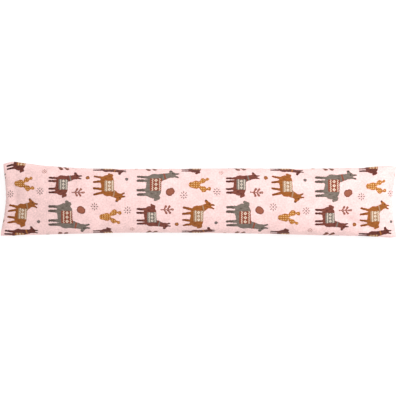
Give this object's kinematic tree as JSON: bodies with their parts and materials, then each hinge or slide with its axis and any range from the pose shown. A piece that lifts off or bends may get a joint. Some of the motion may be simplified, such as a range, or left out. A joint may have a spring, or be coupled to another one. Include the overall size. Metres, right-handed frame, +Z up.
{
  "type": "draught excluder",
  "caption": "Long stuffed plush tube, sewn flat across both ends, that lies along the foot of a door to stop draughts.",
  "frame": {"origin": "middle of the underside, on the floor the tube rests on", "axes": "+X along the tube, +Y across its face, +Z up through its thickness"},
  "size_m": [0.9, 0.175, 0.0744],
  "materials": {
    "printed_plush": "short soft pile, pale pink ground with a small animal and cactus print"
  },
  "bodies": {
    "root": {"stuffed_tube": "printed_plush"}
  },
  "joints": []
}
